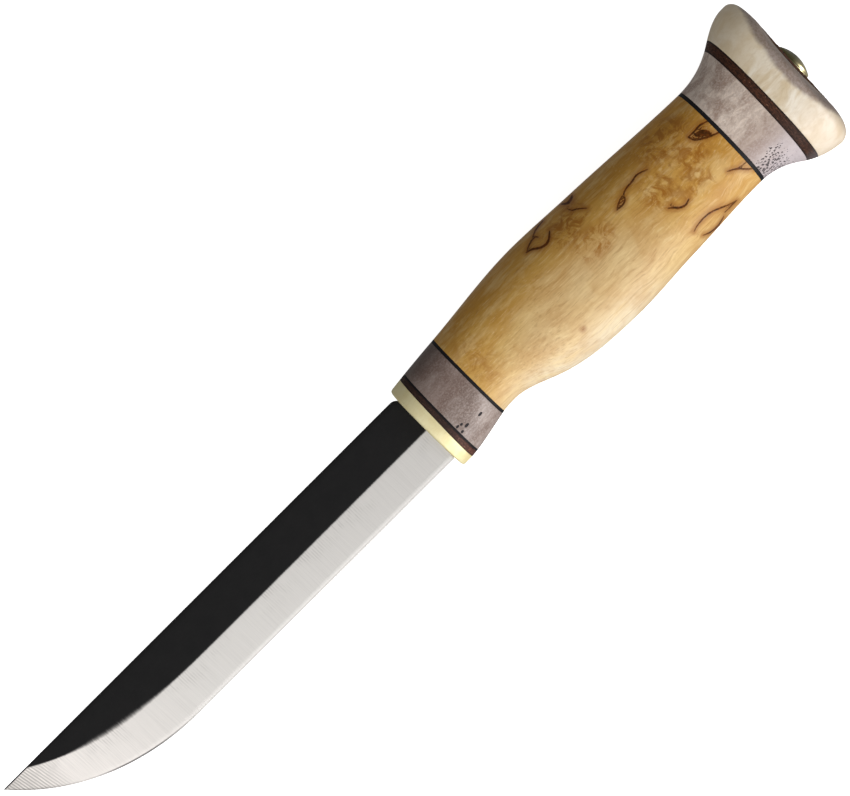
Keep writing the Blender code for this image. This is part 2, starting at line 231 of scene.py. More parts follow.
# Soft-edged ovals as (x, y, half length, half height, strength): single pores of the front antler, brown
# clouds in the birch, the mottle round its buried knot, and a painted sheen over its middle
FRONT_PORES = (
    (5.55, -4.65, 0.55, 0.32, 1.0),
    (6.5, -4.9, 0.45, 0.3, 1.0),
    (5.5, -6.2, 0.5, 0.34, 1.0),
    (7.2, -5.9, 0.75, 0.36, 1.0),
    (11.05, -6.25, 0.75, 0.34, 1.0),
)
BROWN_CLOUDS = (
    (53.0, 9.5, 5.5, 4.5, 1.0),
    (57.5, 10.5, 4.0, 3.5, 1.0),
    (56.0, 3.0, 7.0, 4.5, 0.8),
    (73.5, 1.0, 5.5, 5.5, 0.8),
    (82.5, 8.0, 9.0, 5.0, 0.9),
    (84.5, 1.0, 6.0, 4.5, 0.8),
    (81.0, -4.5, 6.0, 3.0, 0.7),
    (19.0, 3.0, 6.0, 9.0, 0.5),
)
MOTTLE = (79.0, 0.5, 7.5, 7.5, 1.0)
# painted sheen: a pale oval over the lower middle of the birch
MIDDLE_PAINTED_SHEEN = (45.0, -7.0, 32.0, 15.0, 0.55)

# Pale, dark and lightest tones of the two antler spacers
FRONT_ANTLER_TONES = ((172, 156, 148), (130, 110, 100), (196, 182, 176))
REAR_ANTLER_TONES = ((234, 216, 200), (176, 150, 134), (240, 228, 218))
# Painted light and shade across each piece's height, as (y where one begins, y where it is full, strength,
# tone)
# painted shade: the front antler browner from mid-height up, and dark along its top
FRONT_ANTLER_PAINTED_SHADE = ((-3.0, 3.0, 0.35, (112, 84, 72)), (8.0, 12.5, 0.6, (60, 46, 40)))
# painted shade: the rear antler darker towards its lower side
REAR_ANTLER_PAINTED_SHADE = ((1.0, -9.0, 0.6, (138, 114, 104)),)
# painted shade: the bolster leather dark above its lower part
BOLSTER_LEATHER_PAINTED_SHADE = ((-10.0, -3.0, 0.7, (24, 20, 18)),)
# painted shade and light: the rear leather darker below mid-height, with a pale grey painted highlight along
# its bottom edge
REAR_LEATHER_PAINTED_LIGHT_AND_SHADE = ((-2.0, -10.0, 0.35, (28, 18, 12)), (-15.5, -19.5, 0.7, (104, 98, 100)))
# painted reflection: the nut and washer dark olive above the tang's axis, as if mirroring dark surroundings
NUT_PAINTED_REFLECTION = ((-2.5, 0.8, 0.85, (88, 82, 40)),)
# painted shade and light: the pommel greyer towards its lower side and paler towards its top
POMMEL_PAINTED_LIGHT_AND_SHADE = ((-3.0, -15.0, 0.55, (226, 206, 182)), (2.0, 12.0, 0.5, (252, 230, 192)))
# Dark and light tones of the two leathers, and how dark they are along their faces
BOLSTER_LEATHER_TONES = ((60, 36, 30), (114, 70, 57), 0.6)
REAR_LEATHER_TONES = ((41, 20, 9), (88, 48, 27), 0.8)
BARK_TONES = ((46, 16, 0), (96, 44, 4))

# Stretches of the blade along x, each from where an effect begins to where it ends or is full
WEAR_BEGINS = (-112.0, -101.0)
WEAR_ENDS = (-96.0, -78.0)
TIP_LINES_END = (-119.5, -111.5)
STEEL_DARKENS = (-122.0, -70.0)
EDGE_LINE_BEGINS = (-112.0, -102.0)
EDGE_LINE_FADES = (-80.0, -96.0)
SPINE_LINE = (SPINE_Y - 0.42, SPINE_Y - 0.2)  # in y

# The grey band at the pommel's end: x where it begins at mid-height, and its bow for each millimetre squared
BAND_START = 110.0
BAND_BOW = 0.0135

# Stage, in metres apart from the camera, which is in the knife's millimetres
FLOOR_SIZE = 12.0
FLOOR_HEIGHT = -0.0005
FLOOR_GLOW = 0.85
WORLD_GLOW = 0.23
# Soft boxes as (name, place, target, size, energy)
LIGHTS = (
    ("key_light", (0.05, -0.85, 0.5), (0.03, 0.0, 0.0), (1.4, 0.6), 12.0),
    ("top_light", (-0.5, -0.42, 1.1), (-0.05, 0.0, 0.0), (1.3, 0.5), 3.0),
)
CAMERA_TARGET = (4.5, 4.95, 0.0)
CAMERA_PLACE = (37.5, 4.95, 632.0)
VIEW_WIDTH = 191.3
SENSOR_WIDTH = 36.0


def place(point):
    """A point in the knife's millimetres as metres in the frame."""
    return ORIGIN + MM * Vector(point)


def curve_height(knots, x):
    """Height at x of a smooth line through knots of (x, height, slope)."""
    for (x0, y0, slope0), (x1, y1, slope1) in zip(knots, knots[1:]):
        if x <= x1:
            break
    span = x1 - x0
    t = min(1.0, max(0.0, (x - x0) / span))
    start = y0 * (1 + 2 * t) * (1 - t) ** 2 + slope0 * span * t * (1 - t) ** 2
    end = y1 * t * t * (3 - 2 * t) - slope1 * span * t * t * (1 - t)
    return start + end


def sweep_depth(points, distance):
    """Depth below the spine at a distance from the tip, along a Bezier curve that ends level."""
    if distance >= points[-1][0]:
        return points[-1][1]
    if distance <= points[0][0]:
        return points[0][1]
    low, high = 0.0, 1.0
    for _ in range(40):
        t = (low + high) / 2
        weights = ((1 - t) ** 3, 3 * t * (1 - t) ** 2, 3 * t * t * (1 - t), t**3)
        x, depth = (sum(w * p[axis] for w, p in zip(weights, points)) for axis in (0, 1))
        if x < distance:
            low = t
        else:
            high = t
    return depth


def smoothstep(low, high, value):
    """0 below low, 1 above high, and smooth between."""
    t = min(1.0, max(0.0, (value - low) / (high - low)))
    return t * t * (3 - 2 * t)


# Grip sections


def end_rounding(rounding, distance):
    """How far the outline is pulled in at a distance in front of the pommel's end."""
    length, depth = rounding
    if distance >= length:
        return 0.0
    return depth * (1 - math.sqrt(1 - (1 - distance / length) ** 2))


def section_point(x0, lean, angle, inset=0.0, end_distance=None):
    """Point on the grip's surface at an angle round the section through (x0, 0) that leans by lean."""
    cosine, sine = math.cos(angle), math.sin(angle)
    reach = abs(cosine) ** (2 / SECTION_POWER)
    width = math.copysign(abs(sine) ** (2 / SECTION_POWER), sine)
    x = x0
    for _ in range(4):
        top = curve_height(GRIP_TOP, x) - inset
        bottom = curve_height(GRIP_BOTTOM, x) + inset
        half = curve_height(GRIP_HALF_THICKNESS, x) - inset
        if end_distance is not None:
            top -= end_rounding(POMMEL_ROUND_TOP, end_distance)
            bottom += end_rounding(POMMEL_ROUND_BOTTOM, end_distance)
            half -= end_rounding(POMMEL_ROUND_SIDE, end_distance)
        middle = (top + bottom) / 2
        y = middle + reach * (top - middle if cosine > 0 else bottom - middle)
        x = x0 + lean * y
    return x, y, half * width


def ring_angles():
    return [2 * math.pi * step / ROUND_POINTS for step in range(ROUND_POINTS)]


def grip_ring(x0, lean, inset=0.0, end_distance=None):
    """One section of the grip."""
    return [section_point(x0, lean, angle, SKIN_INSET + inset, end_distance) for angle in ring_angles()]


def round_ring(x0, lean, radius):
    """A circle round the tang's axis, in the plane of a leaning joint."""
    ring = []
    for angle in ring_angles():
        y = radius * math.cos(angle)
        ring.append((x0 + lean * y, y, radius * math.sin(angle)))
    return ring


def slot_ring(x0, lean):
    """The slot for the tang, as a ring with a point at each angle."""
    ring = []
    half_height, half_thickness = TANG_SLOT
    for angle in ring_angles():
        cosine, sine = math.cos(angle), math.sin(angle)
        reach = 1 / max(abs(cosine) / half_height, abs(sine) / half_thickness)
        y = TANG_SLOT_Y + reach * cosine
        ring.append((x0 + lean * y, y, reach * sine))
    return ring


def joint_at(name, share):
    """x and lean of the plane that lies at a share of the way through a piece of the stack."""
    (x0, lean0), (x1, lean1) = STACK[name]
    return x0 + (x1 - x0) * share, lean0 + (lean1 - lean0) * share


def stack_rings(name):
    """Outer sections of a piece of the stack, whose two ends are eased by a hair where it meets the next."""
    (x0, _), (x1, _) = STACK[name]
    length = x1 - x0
    count = max(2, round(length / SURFACE_STEP))
    ease = SEAM_ROUNDING / length
    shares = [ease + (1 - 2 * ease) * step / count for step in range(count + 1)]
    rings = [grip_ring(*joint_at(name, 0.0), SEAM_ROUNDING)]
    rings += [grip_ring(*joint_at(name, share)) for share in shares]
    rings.append(grip_ring(*joint_at(name, 1.0), SEAM_ROUNDING))
    return rings


# Meshes


def looped_piece(node, material, rings, attributes=None):
    """A piece made of rings that join up from the last back to the first, standing for a CAD node."""
    count = len(rings[0])
    faces = []
    for row in range(len(rings)):
        following = (row + 1) % len(rings)
        for i in range(count):
            j = (i + 1) % count
            faces.append((row * count + i, row * count + j, following * count + j, following * count + i))
    add_piece(node, material, rings, faces, attributes)


def capped_piece(node, material, rings, attributes=None):
    """A piece made of rings with a flat cap on each end, standing for a CAD node."""
    count = len(rings[0])
    faces = [tuple(range(count))]
    for row in range(len(rings) - 1):
        a, b = row * count, (row + 1) * count
        for i in range(count):
            j = (i + 1) % count
            faces.append((a + j, a + i, b + i, b + j))
    last = (len(rings) - 1) * count
    faces.append(tuple(last + i for i in reversed(range(count))))
    add_piece(node, material, rings, faces, attributes)


def add_piece(node, material, rings, faces, attributes):
    """Makes the object, with its point attributes and smooth shading, and ties it to the frame."""
    points = [place(point) for ring in rings for point in ring]
    mesh = bpy.data.meshes.new(node + "_look")
    mesh.from_pydata(points, [], faces)
    for key, values in (attributes or {}).items():
        if len(values) == len(points):
            mesh.attributes.new(key, "FLOAT", "POINT").data.foreach_set("value", values)
        else:
            mesh.attributes.new(key, "FLOAT_VECTOR", "POINT").data.foreach_set("vector", values)
    mesh.validate()
    mesh.update()
    mesh.materials.append(material)
    mesh.shade_smooth()
    mesh.set_sharp_from_angle(angle=math.radians(HARD_EDGE_ANGLE))
    piece = bpy.data.objects.new(node + "_look", mesh)
    bpy.context.scene.collection.objects.link(piece)
    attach(piece, "root")
    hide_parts(node)


def spline_value(before, start, end, after, t):
    """Value between start and end, at t from 0 to 1, on a Catmull-Rom spline through four values."""
    linear = (end - before) * t
    square = (2 * before - 5 * start + 4 * end - after) * t * t
    cube = (3 * start - before - 3 * end + after) * t**3
    return 0.5 * (2 * start + linear + square + cube)


def smooth_path(points, steps=8):
    """A finer path through given points."""
    padded = [points[0], *points, points[-1]]
    path = []
    for corners in zip(padded, padded[1:], padded[2:], padded[3:]):
        for step in range(steps):
            path.append(tuple(spline_value(*values, step / steps) for values in zip(*corners)))
    path.append(points[-1])
    return path


def stroke_offsets(points, strokes):
    """For each point in x and y: the way to the nearest stroke's centre, its half width, and the gap."""
    way = np.full((len(points), 2), FAR_AWAY)
    width = np.zeros(len(points))
    gap = np.full(len(points), FAR_AWAY)
    for half_width, hand_points in strokes:
        path = np.array(smooth_path(hand_points))
        count = len(path) - 1
        for step, (start, end) in enumerate(zip(path, path[1:])):
            fullness = math.sin(math.pi * (step + 0.5) / count) ** 0.6
            taper = half_width * (STROKE_END_SHARE + (1 - STROKE_END_SHARE) * fullness)
            along = end - start
            share = np.clip((points - start) @ along / max(float(along @ along), 1e-9), 0.0, 1.0)
            offset = points - start - share[:, None] * along
            nearer = np.hypot(offset[:, 0], offset[:, 1]) - taper
            closest = nearer < gap
            way[closest] = offset[closest]
            width[closest] = taper
            gap[closest] = nearer[closest]
    return way, width, gap


def stroke_attributes(name, points, upper, lower):
    """Point attributes for the strokes of both faces: a vector (way x, way y, half width), and the gap."""
    points = np.array(points)
    is_above = points[:, 2] > 0
    way, width, gap = stroke_offsets(points[:, :2], upper)
    way_below, width_below, gap_below = stroke_offsets(points[:, :2], lower)
    way = np.where(is_above[:, None], way, way_below)
    width = np.where(is_above, width, width_below)
    gap = np.where(is_above, gap, gap_below)
    vectors = np.column_stack((way, width))
    return {name: vectors.ravel().tolist(), name + "_gap": gap.tolist()}


# Shader nodes


class Shader:
    """One material's node tree, built a call at a time."""

    def __init__(self, name):
        self.material = bpy.data.materials.new(name)
        self.material.use_nodes = True
        self.tree = self.material.node_tree
        self.principled = self.tree.nodes["Principled BSDF"]

    def node(self, kind, inputs=None, **settings):
        node = self.tree.nodes.new(kind)
        for key, value in settings.items():
            setattr(node, key, value)
        for key, value in (inputs or {}).items():
            self.feed(node.inputs[key], value)
        return node

    def feed(self, socket, value):
        if isinstance(value, bpy.types.NodeSocket):
            self.tree.links.new(value, socket)
        else:
            socket.default_value = value

    def knife_position(self):
        """Position in the knife's millimetres."""
        coordinates = self.node("ShaderNodeTexCoord").outputs["Object"]
        mapping = self.node("ShaderNodeMapping", {"Vector": coordinates})
        mapping.inputs["Location"].default_value = tuple(-value / MM for value in ORIGIN)
        mapping.inputs["Scale"].default_value = (1 / MM,) * 3
        return mapping.outputs["Vector"]

    def stretched(self, vector, scale, turn=0.0):
        """The vector turned about Z and scaled along each axis."""
        inputs = {"Vector": vector, "Scale": scale, "Rotation": (0.0, 0.0, math.radians(turn))}
        return self.node("ShaderNodeMapping", inputs).outputs["Vector"]

    def axis(self, vector, name):
        return self.node("ShaderNodeSeparateXYZ", {"Vector": vector}).outputs[name]

    def attribute(self, name):
        return self.node("ShaderNodeAttribute", attribute_name=name).outputs["Fac"]

    def stroke_gap(self, name):
        """Gap to the nearest stroke's edge, exact close to a stroke and safe half-way between two of them."""
        vector = self.node("ShaderNodeAttribute", attribute_name=name).outputs["Vector"]
        x, y, width = (self.axis(vector, axis) for axis in "XYZ")
        length = self.math("SQRT", self.times_plus(x, x, self.times(y, y)))
        exact = self.math("SUBTRACT", length, width)
        return self.math("MAXIMUM", exact, self.math("SUBTRACT", self.attribute(name + "_gap"), STROKE_REACH))

    def spot(self, position, spot):
        """1 at the middle of an oval seen from above, fading to 0 at its rim, times its strength."""
        x, y, half_length, half_height, strength = spot
        across = self.times_plus(self.axis(position, "X"), 1 / half_length, -x / half_length)
        up = self.times_plus(self.axis(position, "Y"), 1 / half_height, -y / half_height)
        squared = self.times_plus(across, across, self.times(up, up))
        return self.step(squared, 0.0, 1.0, strength, 0.0)

    def bands(self, vector, period, distortion):
        """Even bands across X with a period in the vector's units, from 0 to 1."""
        inputs = {"Vector": vector, "Scale": math.pi / 10 / period, "Distortion": distortion}
        inputs.update({"Detail": 2.0, "Detail Scale": 1.5})
        return self.node("ShaderNodeTexWave", inputs, bands_direction="X").outputs["Fac"]

    def noise(self, vector, scale, detail=3.0, roughness=0.5, distortion=0.0):
        """Fractal noise at a scale, or at a scale for each axis."""
        if isinstance(scale, tuple):
            vector, scale = self.stretched(vector, scale), 1.0
        inputs = {"Vector": vector, "Scale": scale, "Detail": detail, "Roughness": roughness}
        return self.node("ShaderNodeTexNoise", {**inputs, "Distortion": distortion}).outputs["Fac"]

    def cells(self, vector, scale):
        """Distance to the nearest of many scattered points, at a scale or at a scale for each axis."""
        if isinstance(scale, tuple):
            vector, scale = self.stretched(vector, scale), 1.0
        return self.node("ShaderNodeTexVoronoi", {"Vector": vector, "Scale": scale}).outputs["Distance"]

    def math(self, operation, a, b=0.0, c=0.0):
        node = self.node("ShaderNodeMath", operation=operation)
        for socket, value in zip(node.inputs, (a, b, c)):
            self.feed(socket, value)
        return node.outputs["Value"]

    def times(self, a, b):
        return self.math("MULTIPLY", a, b)

    def times_plus(self, a, b, c):
        return self.math("MULTIPLY_ADD", a, b, c)

    def step(self, value, low, high, to_low=0.0, to_high=1.0):
        """Smooth step of a value from low to high; low may be above high, for a step down."""
        inputs = {"Value": value, "From Min": low, "From Max": high, "To Min": to_low, "To Max": to_high}
        return self.node("ShaderNodeMapRange", inputs, interpolation_type="SMOOTHSTEP").outputs["Result"]

    def mix(self, factor, a, b):
        """Colour a, and b over it by the factor."""
        node = self.node("ShaderNodeMix", data_type="RGBA")
        self.feed(node.inputs["Factor"], factor)
        for name, value in (("A", a), ("B", b)):
            socket = next(socket for socket in node.inputs if socket.name == name and socket.type == "RGBA")
            self.feed(socket, self.colour(value))
        return next(socket for socket in node.outputs if socket.type == "RGBA")

    def colour(self, value):
        """A colour socket as it is, or 8-bit sRGB values as a linear colour."""
        if isinstance(value, bpy.types.NodeSocket):
            return value
        return (*srgb(value), 1.0)

    def painted_light_and_shade(self, colour, position, shades):
        """The colour with painted light and shade laid over it by height, as shades of (y where one begins, y
        where it is full, strength, tone).
        """
        y = self.axis(position, "Y")
        for start, full, strength, tone in shades:
            colour = self.mix(self.step(y, start, full, 0.0, strength), colour, tone)
        return colour

    def bump(self, height, distance):
        """Normal bent by a height in the range 0 to 1 that stands for a distance in millimetres."""
        inputs = {"Height": height, "Distance": distance * MM}
        return self.node("ShaderNodeBump", inputs).outputs["Normal"]

    def finish(self, colour, roughness, normal=None, metallic=0.0, **others):
        """Feeds the surface, with other sockets named with underscores, and gives the material."""
        inputs = self.principled.inputs
        self.feed(inputs["Base Color"], self.colour(colour))
        self.feed(inputs["Roughness"], roughness)
        self.feed(inputs["Metallic"], metallic)
        if normal is not None:
            self.feed(inputs["Normal"], normal)
        for name, value in others.items():
            self.feed(inputs[name.replace("_", " ")], value)
        return self.material


def srgb(colour):
    """Linear colour of 8-bit sRGB values."""
    shares = [value / 255 for value in colour]
    return tuple(s / 12.92 if s <= 0.04045 else ((s + 0.055) / 1.055) ** 2.4 for s in shares)


# Materials


def blade_material():
    """Black forge scale on the flats, and a ground bevel with lines across it."""
    s = Shader("blade_steel_look")
    position = s.knife_position()
    x, y = s.axis(position, "X"), s.axis(position, "Y")
    below_line = s.attribute("below_bevel_line")
    above_edge = s.attribute("above_edge")

    # the scale thins out in fine strokes along the top of the bevel, most of all where the belly begins
    strokes = s.noise(position, (4.5, 0.3, 0.3), detail=2.0, roughness=0.6)
    wear = s.times(s.step(x, *WEAR_BEGINS), s.step(x, *WEAR_ENDS, 1.0, 0.0))
    reach = s.times_plus(wear, 0.5, 0.2)
    ragged = s.times_plus(s.math("SUBTRACT", strokes, 0.5), reach, below_line)
    first_bare = s.times_plus(wear, -0.95, -0.3)
    all_bare = s.times_plus(wear, 0.4, 0.26)
    ground = s.step(ragged, first_bare, all_bare)
    ground = s.times(ground, ground)
    ground = s.times(ground, s.step(y, *SPINE_LINE, 1.0, 0.0))

    # grinding lines: strong and slanting at the tip, in patches further back
    tip = s.step(x, *TIP_LINES_END, 1.0, 0.0)
    slanted = s.bands(s.stretched(position, (1.0, 1.0, 1.0), turn=-9.0), 0.66, distortion=0.6)
    upright = s.bands(position, 0.62, distortion=0.9)
    near_line = s.step(below_line, 1.0, 5.5, 1.0, 0.12)
    patch_noise = s.noise(position, (0.09, 0.16, 0.1), detail=2.0)
    patches = s.times(s.step(patch_noise, 0.42, 0.62), near_line)
    broken = s.step(s.noise(position, (1.1, 0.35, 0.3), detail=1.0), 0.3, 0.6)
    patches = s.times(patches, s.times(broken, 0.22))
    tip_lines = s.times(s.step(slanted, 0.25, 0.85), s.times(tip, 0.46))
    back_lines = s.times(s.step(upright, 0.3, 0.8), patches)
    grind = s.math("MAXIMUM", tip_lines, back_lines)
    hair = s.noise(position, (9.0, 0.08, 0.2), detail=1.0)

    bright = s.mix(s.step(x, *STEEL_DARKENS), (232, 226, 221), (206, 203, 199))
    bright = s.mix(s.step(hair, 0.35, 0.7, 0.0, 0.3), bright, (186, 183, 180))
    bright = s.mix(grind, bright, (104, 101, 98))

    # painted shade: the micro-bevel shows as a dark line along the edge of the belly, its darker reflection
    # painted into its colour
    edge_shade = s.step(above_edge, MICRO_BEVEL * 0.8, MICRO_BEVEL * 1.5, 1.0, 0.0)
    edge_shade = s.times(edge_shade, s.step(x, *EDGE_LINE_FADES, 0.3, 0.85))
    edge_shade = s.times(edge_shade, s.step(x, *EDGE_LINE_BEGINS, 0.25, 1.0))
    bright = s.mix(edge_shade, bright, (70, 68, 68))

    specks = s.step(s.noise(position, (1.6, 2.2, 1.6), detail=5.0, roughness=0.75), 0.64, 0.78)
    mottle = s.noise(position, 0.35, detail=4.0)
    scale = s.mix(mottle, (14, 14, 15), (25, 24, 24))
    scale = s.mix(s.times(specks, 0.3), scale, (72, 70, 68))

    colour = s.mix(ground, scale, bright)
    pits = s.noise(position, 1.8, detail=5.0, roughness=0.65)
    roughness = s.step(ground, 0.0, 1.0, s.step(pits, 0.3, 0.7, 0.62, 0.5), 0.4)
    relief = s.times(s.math("SUBTRACT", 1.0, ground), pits)
    relief = s.math("SUBTRACT", relief, s.times(s.times(ground, grind), 0.3))
    normal = s.bump(relief, 0.03)
    return s.finish(colour, roughness, normal, metallic=ground, Specular_IOR_Level=0.2)


def brass_material(name, scratch_scale, roughness_range, metallic_range, shades=()):
    """Satin brass with fine scratches, a breath of tarnish, and the painted shade or reflection given in
    shades.
    """
    s = Shader(name)
    position = s.knife_position()
    scratches = s.noise(position, scratch_scale, detail=3.0, roughness=0.7)
    tarnish = s.noise(position, 0.25, detail=4.0, roughness=0.6)
    colour = s.mix(s.step(tarnish, 0.3, 0.75), (252, 242, 196), (240, 224, 168))
    colour = s.mix(s.step(scratches, 0.55, 0.75, 0.0, 0.35), colour, (208, 188, 124))
    # painted light and shade by height, such as the nut's painted dark reflection
    colour = s.painted_light_and_shade(colour, position, shades)
    roughness = s.step(scratches, 0.3, 0.7, *roughness_range)
    metallic = s.step(tarnish, 0.2, 0.8, *metallic_range)
    return s.finish(colour, roughness, s.bump(scratches, 0.004), metallic=metallic)


def leather_material(name, tones, shades):
    """Cut edge of a leather spacer: packed fibres with paler flecks, darker along both faces, and painted
    light and shade by height.
    """
    s = Shader(name)
    position = s.knife_position()
    dark, light, edge_dark = tones
    fibres = s.noise(position, (3.5, 1.2, 1.2), detail=6.0, roughness=0.7, distortion=0.4)
    colour = s.mix(s.step(fibres, 0.35, 0.68), dark, light)
    flecks = s.step(s.noise(position, 2.6, detail=2.0), 0.62, 0.72)
    colour = s.mix(s.times(flecks, 0.7), colour, tuple(min(255, c + 38) for c in light))
    across = s.attribute("across")
    rim = s.math("ABSOLUTE", s.times_plus(across, 2.0, -1.0))
    colour = s.mix(s.times(s.step(rim, 0.55, 0.95), edge_dark), colour, (18, 10, 8))
    # painted light and shade by height
    colour = s.painted_light_and_shade(colour, position, shades)
    roughness = s.step(fibres, 0.3, 0.7, 0.72, 0.52)
    return s.finish(colour, roughness, s.bump(fibres, 0.05), Specular_IOR_Level=0.25)


def fibre_material():
    """Black fibre liner."""
    s = Shader("black_fibre_look")
    position = s.knife_position()
    grain = s.noise(position, (6.0, 1.5, 1.5), detail=4.0)
    colour = s.mix(grain, (8, 8, 11), (26, 25, 29))
    return s.finish(colour, s.step(grain, 0.3, 0.7, 0.55, 0.7), s.bump(grain, 0.02), Specular_IOR_Level=0.25)


def antler_material(name, tones, shades, pores=(), many_pores=False):
    """Grey sanded antler: cloudy mottling, fine pale grain, and black pores, a few or a patch of many."""
    s = Shader(name)
    position = s.knife_position()
    clouds = s.noise(position, (0.13, 0.2, 0.2), detail=4.0, roughness=0.55, distortion=0.6)
    streaks = s.noise(position, (0.4, 1.1, 1.1), detail=4.0, roughness=0.65, distortion=0.5)
    fine = s.noise(position, (2.0, 2.6, 2.6), detail=3.0, roughness=0.7)
    pale, dark, light = tones
    colour = s.mix(s.step(clouds, 0.38, 0.6), dark, pale)
    colour = s.mix(s.step(streaks, 0.38, 0.7, 0.5, 0.0), colour, tuple(tone * 0.88 for tone in dark))
    colour = s.mix(s.step(fine, 0.42, 0.66, 0.0, 0.4), colour, light)
    # painted shade by height
    colour = s.painted_light_and_shade(colour, position, shades)
    black = s.step(s.cells(position, (1.6, 2.4, 2.4)), 0.05, 0.11, 0.7, 0.0)
    is_upper = s.step(s.axis(position, "Z"), 0.0, 1.0)
    for pore in pores:
        hole = s.step(s.spot(position, pore), 0.1, 0.45)
        black = s.math("MAXIMUM", black, s.times(hole, is_upper))
    if many_pores:
        bent = s.times_plus(s.noise(position, 0.35, detail=3.0), 4.0, s.axis(position, "Y"))
        zone = s.step(bent, -9.0, -6.0, 1.0, 0.0)
        zone = s.times(zone, s.step(s.axis(position, "X"), 97.0, 103.0, 1.0, 0.35))
        crooked = s.noise(position, (1.4, 2.0, 2.0), detail=3.0, roughness=0.7)
        cells = s.times_plus(crooked, 0.5, s.cells(position, (1.4, 2.1, 2.1)))
        chance = s.noise(position, (0.6, 0.9, 0.9), detail=2.0)
        width = s.times(zone, s.step(chance, 0.25, 0.5, 0.46, 0.72))
        holes = s.step(s.math("SUBTRACT", cells, width), -0.08, 0.03, 0.85, 0.0)
        black = s.math("MAXIMUM", black, s.times(holes, s.step(zone, 0.05, 0.3)))
        # painted light: the lowest part of the rear antler paled towards lavender white
        lower_painted_light = s.step(bent, -13.0, -3.5, 0.62, 0.0)
        colour = s.mix(lower_painted_light, colour, (212, 205, 212))
    colour = s.mix(black, colour, (34, 28, 30))
    relief = s.times_plus(fine, 0.15, s.math("SUBTRACT", 1.0, black))
    roughness = s.step(black, 0.0, 1.0, 0.45, 0.75)
    return s.finish(colour, roughness, s.bump(relief, 0.12))


def pommel_material():
    """Cream antler that turns grey towards its end, with a spongy brown core."""
    s = Shader("cream_antler_look")
    position = s.knife_position()
    x, y = s.axis(position, "X"), s.axis(position, "Y")
    clouds = s.noise(position, (0.14, 0.2, 0.2), detail=5.0, roughness=0.6, distortion=0.8)
    streaks = s.noise(position, (0.5, 1.3, 1.3), detail=4.0, roughness=0.65)
    colour = s.mix(s.step(clouds, 0.3, 0.7), (214, 192, 156), (248, 239, 223))
    colour = s.mix(s.step(streaks, 0.45, 0.75, 0.0, 0.3), colour, (186, 162, 126))
    # painted light and shade by height
    colour = s.painted_light_and_shade(colour, position, POMMEL_PAINTED_LIGHT_AND_SHADE)
    middle = s.math("ADD", y, -POMMEL_MIDDLE_Y)
    start = s.times_plus(s.times(middle, middle), BAND_BOW, BAND_START)
    wander = s.times_plus(s.noise(position, (0.3, 0.22, 0.22), detail=4.0), 2.4, -1.2)
    into = s.math("SUBTRACT", s.math("ADD", x, wander), start)
    grey = s.step(into, 0.0, 1.5)
    fine = s.noise(position, 1.6, detail=4.0, roughness=0.7)
    band = s.mix(s.step(fine, 0.35, 0.65), (118, 98, 92), (156, 138, 132))
    band = s.mix(s.step(into, 2.6, 4.8), band, (160, 147, 138))
    colour = s.mix(s.times(grey, 0.85), colour, band)
    core = s.attribute("core")
    holes = s.cells(position, 1.1)
    sponge = s.mix(s.step(holes, 0.15, 0.5), (38, 20, 10), (96, 58, 30))
    sponge = s.mix(s.step(core, 0.3, 0.9, 0.75, 0.0), sponge, (34, 18, 10))
    colour = s.mix(s.step(core, 0.08, 0.3), colour, sponge)
    relief = s.times(core, s.step(holes, 0.1, 0.5))
    roughness = s.step(core, 0.0, 1.0, 0.4, 0.8)
    return s.finish(colour, roughness, s.bump(relief, 0.25))


